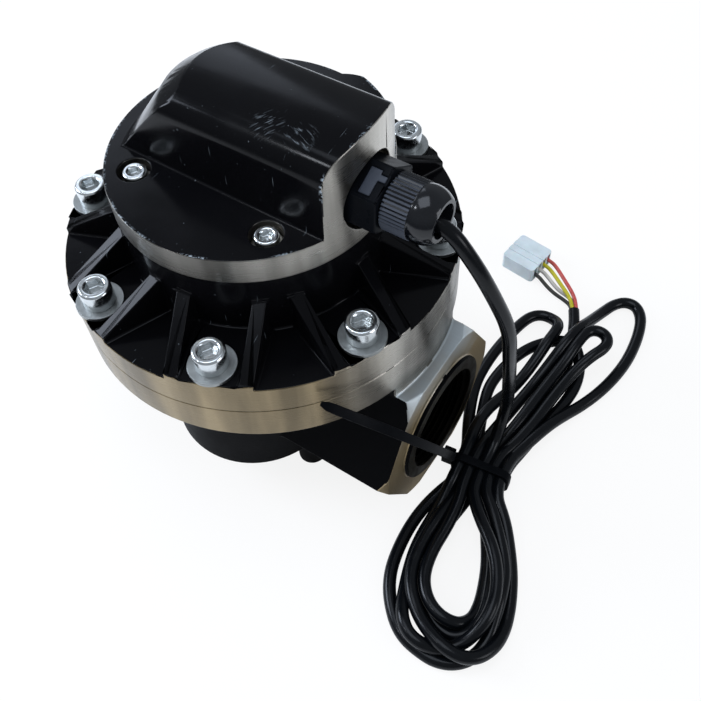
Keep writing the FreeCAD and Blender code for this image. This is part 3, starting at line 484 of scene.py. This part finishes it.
class MeterFinish(bpy.types.PropertyGroup):
    """Sizes and colours of the meter's finish."""

    edge: FloatProperty(name="Edge", description="Break of the castings' outer edges", default=0.45 * MM,
                        subtype="DISTANCE")
    fillet: FloatProperty(name="Fillet", description="Fillet in the castings' inner corners",
                          default=1.0 * MM, subtype="DISTANCE")
    fine_edge: FloatProperty(name="Fine Edge", description="Break of the small parts' edges",
                             default=0.25 * MM, subtype="DISTANCE")
    cable: FloatProperty(name="Cable", description="Diameter of the signal cable", default=5.4 * MM,
                         subtype="DISTANCE")
    core: FloatProperty(name="Core", description="Diameter of one insulated core", default=1.9 * MM,
                        subtype="DISTANCE")
    black: FloatVectorProperty(name="Black", description="Anodised and painted black", size=4,
                               default=linear("#08080a"), subtype="COLOR")
    bare: FloatVectorProperty(name="Bare Metal", description="Turned and faced aluminium", size=4,
                              default=linear("#827358"), subtype="COLOR")
    # also the lighter end of the turned rims, a painted reflection, and the base of the housing rim's painted
    # shade
    clean: FloatVectorProperty(name="Clean Metal", description="Aluminium without oil stain", size=4,
                               default=linear("#a09c94"), subtype="COLOR")
    nylon: FloatVectorProperty(name="Nylon", description="Cable gland and tie", size=4,
                               default=linear("#0d0f13"), subtype="COLOR")
    jacket: FloatVectorProperty(name="Jacket", description="Cable jacket", size=4, default=linear("#080a0d"),
                                subtype="COLOR")
    plug: FloatVectorProperty(name="Plug", description="Plug housing", size=4, default=linear("#c6d0d2"),
                              subtype="COLOR")
    red: FloatVectorProperty(name="Red Core", description="Insulation of the supply core", size=4,
                             default=linear("#c0504a"), subtype="COLOR")
    yellow: FloatVectorProperty(name="Yellow Core", description="Insulation of the pulse core", size=4,
                                default=linear("#bfb41e"), subtype="COLOR")
    white: FloatVectorProperty(name="White Core", description="Insulation of the second pulse core", size=4,
                               default=linear("#c4bdb4"), subtype="COLOR")
    dark: FloatVectorProperty(name="Black Core", description="Insulation of the ground core", size=4,
                              default=linear("#35332d"), subtype="COLOR")
    floor: FloatVectorProperty(name="Floor", description="Studio floor", size=4, default=linear("#f4f3f1"),
                               subtype="COLOR")


# Operators, one for each piece or group of like pieces

class METER_OT_castings(bpy.types.Operator):
    """Lower body, ribbed cover and electronics housing with their turned and black faces"""

    bl_idname = "meter.castings"
    bl_label = "Castings"

    def execute(self, context):
        finish = context.scene.meter_finish
        # flange rim: oil-stained warm grey that turns lighter past X 58 mm as a painted reflection
        turned = turned_aluminium("TurnedAluminium", finish.bare, finish.clean, (58.0, 72.0))
        # housing rim: a darker copy of the clean metal as painted shade, turning past X 20 mm into a lighter
        # copy as a painted reflection
        shaded_lit_case_rim = turned_aluminium("HousingRimPaintedShadeAndReflection", shade(finish.clean, 0.4),
                                    shade(finish.clean, 1.1), (20.0, 42.0))
        # near black in the bore as painted shade deep in the port, dark olive brown on the lip
        bore = dark_cut_metal("ShadedBore", "#080706", "#100e0b")
        lip = dark_cut_metal("DarkLip", "#16140e", "#332e23")
        # port ends: warm oily tone below, a blue-grey painted highlight on the upper faces
        faced = faced_aluminium("FacedAluminium", finish.bare, (52.0, 92.0))
        oily = faced_aluminium("OilyFace", shade(finish.bare, 0.9), (70.0, 100.0))
        body = [cast_paint(finish.black), turned, faced, bore, lip, oily]
        boss_end = PORT_FACE - LIP_HEIGHT_MM * MM

        def body_face(centre, normal):
            reach = Vector((centre.y, centre.z - PORT_AXIS_MM * MM)).length / MM
            out = abs(centre.x)
            square = abs(normal.x) > SQUARE
            if on_cylinder(centre, normal, RIM_RADIUS):
                return body.index(turned)
            if square and out > boss_end + 1 * MM:
                return body.index(lip)
            if square and out > boss_end - 1 * MM:
                return body.index(oily)
            if reach < PORT_RADIUS_MM + 0.3 and out > 20 * MM:
                return body.index(bore)
            # bare metal on the boss's end: its cone and the flat above the port
            cone = 0.08 < abs(normal.x) and not square and reach > 30
            upper_flat = normal.z > 0.9 and centre.z > 70 * MM
            return body.index(faced) if out > 60 * MM and (cone or upper_flat) else 0

        dress("lower_body", "LowerCasting", body, finish.edge, body_face, finish.fillet)

        def lid_face(centre, normal):
            return 1 if on_cylinder(centre, normal, RIM_RADIUS) else 0

        dress("ribbed_cover", "RibbedLid", [anodised_black("LidBlackAnodised", finish.black), turned],
              finish.edge, lid_face, finish.fillet)

        def case_face(centre, normal):
            flat = Vector((centre.x, centre.y)) / MM
            if on_cylinder(centre, normal, DISC_RADIUS):
                return 1
            reach = Vector((centre.y, centre.z - GLAND_AXIS)).length / MM
            if centre.x > POCKET_FLOOR_MM * MM - 0.2 * MM and reach < POCKET_RADIUS_MM + 0.2:
                return 1
            corner = Vector((abs(flat.x), abs(flat.y))) - Vector((1, 1)).normalized() * COUNTERBORE_CIRCLE_MM
            inside = CASE_LOW + 1 * MM < centre.z < CASE_LOW + (DISC_HEIGHT_MM - 0.2) * MM
            return 1 if inside and corner.length < COUNTERBORE_RADIUS_MM + 0.2 else 0

        black = anodised_black("HousingBlackAnodised", finish.black, case_wear)
        dress("electronics_housing", "SensorHousing", [black, shaded_lit_case_rim], finish.edge,
              case_face, finish.fillet)
        return {"FINISHED"}


class METER_OT_threads(bpy.types.Operator):
    """Pipe threads in both ports"""

    bl_idname = "meter.threads"
    bl_label = "Port Threads"

    def execute(self, context):
        turns = int(THREAD_LENGTH_MM / THREAD_PITCH_MM)
        steps = 40
        low, high = (PORT_RADIUS_MM + 0.05) * MM, (PORT_RADIUS_MM - THREAD_DEPTH_MM) * MM
        bm = bmesh.new()
        for side in (-1, 1):
            first = side * (PORT_FACE - THREAD_START_MM * MM)
            half = THREAD_PITCH_MM * 0.42 * MM
            axis_z = PORT_AXIS_MM * MM
            corners = [bm.verts.new((first + dx, 0, axis_z + r))
                       for dx, r in ((-half, low), (0, high), (half, low))]
            ridge = bm.faces.new(corners)
            bmesh.ops.spin(
                bm, geom=[ridge] + list(ridge.edges) + corners, cent=(first, 0, axis_z), axis=(1, 0, 0),
                dvec=(-side * THREAD_PITCH_MM * MM / steps, 0, 0), angle=math.tau * turns,
                steps=turns * steps,
            )
        bmesh.ops.recalc_face_normals(bm, faces=bm.faces)
        # near black: painted shade inside the bore
        thread = dark_cut_metal("ShadedThread", "#040403", "#0b0907")
        place_piece("PortThreads", bm, [thread], [])
        return {"FINISHED"}


class METER_OT_fasteners(bpy.types.Operator):
    """Socket head screws and flat washers"""

    bl_idname = "meter.fasteners"
    bl_label = "Fasteners"

    def execute(self, context):
        edge = context.scene.meter_finish.fine_edge
        # tumbled stainless: bright, mirror-like with faint marks; the washers are duller, as stamped
        bright = metal("TumbledStainless", "#c0c4c5", "#e6eaeb", 0.14, 0.26, 1.2, 0.008)
        stamped = metal("StampedStainless", "#868988", "#a6a9a8", 0.34, 0.48, 1.2, 0.02)
        dress("cover_screws", "CoverScrews", [bright], edge)
        dress("housing_screws", "HousingScrews", [bright], edge)
        dress("cover_washers", "CoverWashers", [stamped], edge * 0.6)
        return {"FINISHED"}


class METER_OT_gland(bpy.types.Operator):
    """Cable gland: hexagon body, ribbed dome nut and sealing ring"""

    bl_idname = "meter.gland"
    bl_label = "Cable Gland"

    def execute(self, context):
        finish = context.scene.meter_finish
        # moulded polyamide: satin body and glossier nut, faintly blue black
        nylon = moulded("GlandPolyamide", finish.nylon, 0.26, 0.38, 0.5, 0.006, {"IOR": 1.12})
        glossy = moulded("NutPolyamide", finish.nylon, 0.1, 0.16, 0.5, 0.003, {"IOR": 1.45})
        # the same, lighter: a painted highlight on the flank of each nut rib that faces the light, and the
        # lighter tone of the body's raised pad
        lit_flank_and_pad = moulded("RibHighlightAndPadPolyamide", shade(finish.nylon, 11.0), 0.4, 0.5, 0.5, 0.006, {"IOR": 1.4})
        # nitrile rubber: matte black
        rubber = moulded("NitrileRubber", linear("#0c0c0c"), 0.6, 0.75, 0.4, 0.02, {"IOR": 1.4})
        axis = Vector((0, 0, GLAND_AXIS))
        pad = max((face.center - axis).dot(face.normal) for face in NODES["gland_body"].data.polygons
                  if abs(face.normal.x) < 0.01)
        rib_base = 0.9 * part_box("gland_nut")[1].y

        def body_face(centre, normal):
            return 1 if abs(normal.x) < 0.01 and (centre - axis).dot(normal) > pad - 0.06 * MM else 0

        # the flank of each rib that turns towards the light, for the painted highlight
        def nut_lit_flank(centre, normal):
            out = centre - axis
            across = normal.y * out.z - normal.z * out.y
            ribs = abs(normal.x) < 0.1 and out.yz.length > rib_base
            return 1 if ribs and across > 0.3 * out.yz.length else 0

        dress("gland_body", "GlandBody", [nylon, lit_flank_and_pad], finish.fine_edge * 2, body_face)
        dress("gland_nut", "GlandNut", [glossy, lit_flank_and_pad], finish.fine_edge * 0.4, nut_lit_flank)
        dress("gland_o_ring", "GlandRing", [rubber], finish.fine_edge)
        return {"FINISHED"}


def cord_curve(name, points, diameter, material):
    """One open smooth spline with listed points, given in millimetres."""
    curve = bpy.data.curves.new(name, "CURVE")
    curve.dimensions = "3D"
    spline = curve.splines.new("NURBS")
    spline.points.add(len(points) - 1)
    for made, point in zip(spline.points, points):
        made.co = (point[0] * MM, point[1] * MM, point[2] * MM, 1.0)
    spline.order_u = 3
    spline.use_endpoint_u = True
    spline.resolution_u = 8
    curve.bevel_depth = diameter / 2
    curve.bevel_resolution = 5
    curve.use_fill_caps = True
    piece = bpy.data.objects.new(name, curve)
    bpy.context.scene.collection.objects.link(piece)
    curve.materials.append(material)
    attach(piece, BODY)
    return piece


class METER_OT_cable(bpy.types.Operator):
    """Signal cable from the gland through the tied hank to its free end, and its four cores"""

    bl_idname = "meter.cable"
    bl_label = "Cable"

    def execute(self, context):
        finish = context.scene.meter_finish
        # extruded PVC: soft gloss, a little uneven from the extruder
        jacket = moulded("PvcJacket", finish.jacket, 0.17, 0.26, 0.6, 0.006, {"IOR": 1.28})
        cable = cord_curve("SignalCable", CABLE_POINTS, finish.cable, jacket)
        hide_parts("cable_lead", "cable_hank", "cable_tail")
        inks = {"red": finish.red, "yellow": finish.yellow, "white": finish.white, "black": finish.dark}
        for colour, route in CORE_POINTS.items():
            skin = moulded("PvcCore_" + colour, inks[colour], 0.3, 0.42, 0.3, 0.005, {"IOR": 1.4})
            core = cord_curve("Core_" + colour, route, finish.core, skin)
            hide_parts("wire_" + colour)
        return {"FINISHED"}


class METER_OT_tie(bpy.types.Operator):
    """Cable tie: band, head with its strip window and the loose toothed end"""

    bl_idname = "meter.tie"
    bl_label = "Cable Tie"

    def execute(self, context):
        finish = context.scene.meter_finish
        bm = merged_copy("cable_tie")
        tops = [face for face in bm.faces if face.normal.z > PARALLEL
                and face.calc_center_median().x < TIE_HEAD_END_MM * MM]
        if not tops:
            raise RuntimeError("the tie's head has no upper face")
        head = max(tops, key=lambda face: face.calc_center_median().z + face.calc_area())
        bmesh.ops.inset_region(bm, faces=[head], thickness=0.9 * MM, depth=-0.7 * MM)
        # the strip's free end is drawn out to a point
        far = min(vert.co.x for vert in bm.verts)
        tip = [vert for vert in bm.verts if vert.co.x < far + 1.5 * MM]
        middle = sum((vert.co for vert in tip), Vector()) / len(tip)
        bmesh.ops.scale(bm, vec=(0.4, 0.4, 0.4), space=Matrix.Translation(-middle), verts=tip)
        # moulded polyamide of the tie: satin
        nylon = moulded("TiePolyamide", shade(finish.nylon, 0.5), 0.28, 0.4, 0.4, 0.006, {"IOR": 1.12})
        piece = place_piece("CableTie", bm, [nylon], ["cable_tie"])
        break_edges(piece, finish.fine_edge)
        return {"FINISHED"}


class METER_OT_plug(bpy.types.Operator):
    """Four-way plug housing with its ribs, contact openings and wire entries"""

    bl_idname = "meter.plug"
    bl_label = "Plug"

    def execute(self, context):
        finish = context.scene.meter_finish
        length, width, height = (side * MM for side in PLUG_SIZE_MM)
        half_rib, rib = (side * MM for side in PLUG_RIB_MM)
        bm = bmesh.new()
        bmesh.ops.create_cube(bm, size=1.0)
        bmesh.ops.scale(bm, vec=(length, width, height - rib), verts=bm.verts)
        bmesh.ops.translate(bm, vec=(0, 0, (height - rib) / 2), verts=bm.verts)
        upright = [e for e in bm.edges if abs(e.verts[0].co.z - e.verts[1].co.z) > height / 2]
        bmesh.ops.bevel(bm, geom=upright, offset=PLUG_CORNER_MM * MM, segments=4, profile=0.5, affect="EDGES")
        ways = [(k - 1.5) * PLUG_PITCH_MM * MM for k in range(4)]
        for way in ways:
            for side in (-1, 1):
                cut = (0, way + side * half_rib, 0)
                bmesh.ops.bisect_plane(bm, geom=bm.verts[:] + bm.edges[:] + bm.faces[:], plane_co=cut,
                                       plane_no=(0, 1, 0))

        def way_faces(direction):
            return [f for f in bm.faces if f.normal.dot(direction) > PARALLEL
                    and min(abs(f.calc_center_median().y - way) for way in ways) < 0.3 * MM]

        tops = way_faces(Vector((0, 0, 1)))
        ribs = bmesh.ops.extrude_face_region(bm, geom=tops)
        bmesh.ops.translate(bm, vec=(0, 0, rib),
                            verts=[v for v in ribs["geom"] if isinstance(v, bmesh.types.BMVert)])
        bmesh.ops.delete(bm, geom=tops, context="FACES_ONLY")
        # contact openings at the mating end, wire entries at the other
        for direction, depth in ((-1, 6.0), (1, 2.5)):
            faces = [f for f in way_faces(Vector((direction, 0, 0))) if f.calc_area() > 8 * MM * MM]
            bmesh.ops.inset_individual(bm, faces=faces, thickness=PLUG_WALL_MM * MM)
            pushed = bmesh.ops.extrude_discrete_faces(bm, faces=faces)
            bmesh.ops.translate(bm, vec=(-direction * depth * MM, 0, 0),
                                verts=list({v for f in pushed["faces"] for v in f.verts}))
        bmesh.ops.remove_doubles(bm, verts=bm.verts, dist=WELD)
        bmesh.ops.recalc_face_normals(bm, faces=bm.faces)
        turn = Matrix.Rotation(math.radians(PLUG_TURN), 4, "Z")
        bmesh.ops.transform(bm, matrix=Matrix.Translation(Vector(PLUG_PLACE_MM) * MM) @ turn, verts=bm.verts)
        for face in bm.faces:
            face.smooth = True
        # milky polyamide: pale, lets a little light in
        nylon = moulded("MilkyPolyamide", finish.plug, 0.3, 0.42, 0.6, 0.006,
                        {"IOR": 1.5, "Subsurface Weight": 0.15, "Subsurface Scale": 1.0 * MM})
        piece = place_piece("PlugShell", bm, [nylon], ["connector_housing"])
        break_edges(piece, finish.fine_edge * 0.8)
        return {"FINISHED"}


class METER_OT_works(bpy.types.Operator):
    """Finishes of the parts inside: gears, shafts, bushes, magnets, board, seals and contacts"""

    bl_idname = "meter.works"
    bl_label = "Works"

    def execute(self, context):
        finish = context.scene.meter_finish
        # nitrile rubber: matte black
        rubber = moulded("SealRubber", linear("#0c0c0c"), 0.6, 0.75, 0.4, 0.02, {"IOR": 1.4})
        # milled aluminium with cutter marks; ground steel; drawn brass; tinned brass; nickel on magnet alloy
        milled = metal("MilledAluminium", "#9a9a98", "#c9c9c6", 0.22, 0.4, 0.6, 0.01)
        ground = metal("GroundSteel", "#a7a7a3", "#cfcfcb", 0.1, 0.2, 0.5, 0.004)
        brass = metal("DrawnBrass", "#9c7a36", "#c6a258", 0.2, 0.34, 0.7, 0.006)
        tinned = metal("TinnedBrass", "#a09a8a", "#cac4b4", 0.18, 0.3, 0.6, 0.006)
        nickel = metal("NickelMagnet", "#8d8b86", "#b4b2ad", 0.12, 0.22, 0.8, 0.004)
        # glass-epoxy board under green solder mask; moulded terminal and sensor bodies
        mask = moulded("SolderMask", linear("#10502c"), 0.25, 0.35, 0.8, 0.01, {"IOR": 1.5})
        terminal = moulded("TerminalPolyamide", linear("#2c7a3c"), 0.35, 0.5, 0.5, 0.01, {"IOR": 1.5})
        epoxy = moulded("SensorEpoxy", linear("#17171a"), 0.4, 0.55, 0.3, 0.008, {"IOR": 1.5})
        sheath = moulded("InnerPvcJacket", finish.jacket, 0.28, 0.4, 0.6, 0.012, {"IOR": 1.35})
        table = {
            "cover_o_ring": rubber, "housing_o_ring": rubber, "gland_seal": rubber, "sensor_board": mask,
            "hall_sensors": epoxy, "board_terminal": terminal, "board_screws": ground, "inner_lead": sheath,
            "rotor_shafts": ground, "thrust_washers": brass, "oval_gear_front": milled,
            "oval_gear_rear": milled, "gear_bushes_front": brass, "gear_bushes_rear": brass,
            "rotor_magnets": nickel, "connector_terminals": tinned,
        }
        for node, material in table.items():
            NODES[node].data.materials.clear()
            NODES[node].data.materials.append(material)
        return {"FINISHED"}


def ray_kinds(tree):
    """Sockets that are 1 for rays from the camera, and for reflected or refracted rays."""
    camera = add(tree, "ShaderNodeLightPath", {}, {}, "Is Camera Ray")
    glossy = add(tree, "ShaderNodeLightPath", {}, {}, "Is Glossy Ray")
    clear = add(tree, "ShaderNodeLightPath", {}, {}, "Is Transmission Ray")
    return camera, add(tree, "ShaderNodeMath", {"operation": "MAXIMUM"}, {0: glossy, 1: clear})


class METER_OT_stage(bpy.types.Operator):
    """Pale floor, soft studio light, white background and the photograph's camera"""

    bl_idname = "meter.stage"
    bl_label = "Studio Stage"

    def execute(self, context):
        scene = context.scene
        scene.view_settings.view_transform = "Standard"
        bm = bmesh.new()
        bmesh.ops.create_grid(bm, x_segments=1, y_segments=1, size=4.0)
        mesh = bpy.data.meshes.new("StudioFloor")
        bm.to_mesh(mesh)
        bm.free()
        floor = bpy.data.objects.new("StudioFloor", mesh)
        scene.collection.objects.link(floor)
        material = bpy.data.materials.new("PaleFloor")
        material.use_nodes = True
        tree = material.node_tree
        tree.nodes.clear()
        camera, sharp = ray_kinds(tree)
        # the floor itself shows white and keeps a soft shadow; reflections show it a little greyer
        share = add(tree, "ShaderNodeMath", {"operation": "MULTIPLY"}, {0: sharp, 1: 0.1})
        share = add(tree, "ShaderNodeMath", {"operation": "MULTIPLY_ADD"}, {0: camera, 1: 0.86, 2: share})
        matte = add(tree, "ShaderNodeBsdfDiffuse", {}, {"Color": scene.meter_finish.floor})
        white = add(tree, "ShaderNodeEmission", {}, {"Color": (1, 1, 1, 1), "Strength": 1.0})
        mix = add(tree, "ShaderNodeMixShader", {}, {0: share, 1: matte, 2: white})
        # beyond about 0.6 m the reflections see a dim room in its place
        place = add(tree, "ShaderNodeTexCoord", {}, {}, "Object")
        reach = add(tree, "ShaderNodeVectorMath", {"operation": "LENGTH"}, {0: place}, "Value")
        far = add(tree, "ShaderNodeMapRange", {}, {"Value": reach, "From Min": 0.5, "From Max": 0.7})
        far = add(tree, "ShaderNodeMath", {"operation": "MULTIPLY"}, {0: far, 1: sharp})
        dim = add(tree, "ShaderNodeEmission", {}, {"Color": linear(DAYLIGHT), "Strength": 0.2})
        mix = add(tree, "ShaderNodeMixShader", {}, {0: far, 1: mix, 2: dim})
        add(tree, "ShaderNodeOutputMaterial", {}, {"Surface": mix})
        mesh.materials.append(material)
        self.world(scene)
        self.lights(scene)
        self.camera(scene)
        return {"FINISHED"}

    def world(self, scene):
        world = bpy.data.worlds.new("Studio")
        scene.world = world
        world.use_nodes = True
        tree = world.node_tree
        tree.nodes.clear()
        camera, sharp = ray_kinds(tree)
        direction = add(tree, "ShaderNodeTexCoord", {}, {}, "Generated")
        height = add(tree, "ShaderNodeSeparateXYZ", {}, {0: direction}, 2)
        ceiling = add(tree, "ShaderNodeMapRange", {},
                      {"Value": height, "From Min": -0.3, "From Max": 0.4, "To Min": 0.15, "To Max": 0.4})
        level = add(tree, "ShaderNodeMix", {"data_type": "FLOAT"}, {0: sharp, 2: 0.65, 3: ceiling})
        level = add(tree, "ShaderNodeMix", {"data_type": "FLOAT"}, {0: camera, 2: level, 3: 1.0})
        # daylight in the reflections, plain white behind the object
        tint = add(tree, "ShaderNodeMix", {"data_type": "RGBA"},
                   {0: camera, 6: linear(DAYLIGHT), 7: (1, 1, 1, 1)}, 2)
        back = add(tree, "ShaderNodeBackground", {}, {"Color": tint, "Strength": level})
        add(tree, "ShaderNodeOutputWorld", {}, {"Surface": back})

    def lights(self, scene):
        # a window-like box on the far left, soft ones overhead, right and behind, a small one for highlights
        lamps = (
            ("WindowBox", (-1.05, -0.36, 0.68), 0.55, 12.0, linear("#e4eeff")),
            ("OverheadBox", (-0.1, -0.1, 1.4), 0.9, 7.0, linear("#e6f0ff")),
            ("SideBox", (1.2, 0.1, 0.6), 0.5, 3.0, linear("#f4f7ff")),
            ("KeyBox", (-0.47, -0.56, 0.98), 0.1, 1.0, linear("#f0f6ff")),
            ("BackBox", (-0.84, 0.7, 0.72), 0.6, 2.0, linear("#e4eeff")),
        )
        for name, place, size, power, colour in lamps:
            lamp = bpy.data.lights.new(name, "AREA")
            lamp.size = size
            lamp.energy = power
            lamp.color = colour[:3]
            holder = bpy.data.objects.new(name, lamp)
            holder.location = place
            aim = Vector((0.02, 0, 0.08)) - Vector(place)
            holder.rotation_euler = aim.to_track_quat("-Z", "Y").to_euler()
            scene.collection.objects.link(holder)

    def camera(self, scene):
        data = bpy.data.cameras.new("PhotoCamera")
        data.lens = CAMERA_LENS
        data.sensor_width = CAMERA_SENSOR
        data.clip_start = 0.01
        holder = bpy.data.objects.new("PhotoCamera", data)
        back = CAMERA_RIGHT.cross(CAMERA_UP).normalized()
        turn = Matrix((CAMERA_RIGHT, CAMERA_UP, back)).transposed().to_4x4()
        holder.matrix_world = Matrix.Translation(CAMERA_PLACE) @ turn
        scene.collection.objects.link(holder)
        scene.camera = holder


class METER_PT_sidebar(bpy.types.Panel):
    """Lists the operators that build the meter"""

    bl_label = "Flow Meter"
    bl_idname = "METER_PT_sidebar"
    bl_space_type = "VIEW_3D"
    bl_region_type = "UI"
    bl_category = "Flow Meter"

    def draw(self, context):
        for operator in OPERATORS:
            self.layout.operator(operator.bl_idname)


OPERATORS = (
    METER_OT_stage, METER_OT_tie, METER_OT_plug, METER_OT_cable, METER_OT_castings, METER_OT_threads,
    METER_OT_fasteners, METER_OT_gland, METER_OT_works,
)
CLASSES = (MeterFinish,) + OPERATORS + (METER_PT_sidebar,)


def register():
    for entry in CLASSES:
        bpy.utils.register_class(entry)
    bpy.types.Scene.meter_finish = PointerProperty(type=MeterFinish)


def unregister():
    del bpy.types.Scene.meter_finish
    for entry in reversed(CLASSES):
        bpy.utils.unregister_class(entry)


def main():
    register()
    bpy.ops.meter.stage()
    bpy.ops.meter.tie()
    bpy.ops.meter.plug()
    bpy.ops.meter.cable()
    bpy.ops.meter.castings()
    bpy.ops.meter.threads()
    bpy.ops.meter.fasteners()
    bpy.ops.meter.gland()
    bpy.ops.meter.works()


if __name__ == "__main__":
    main()
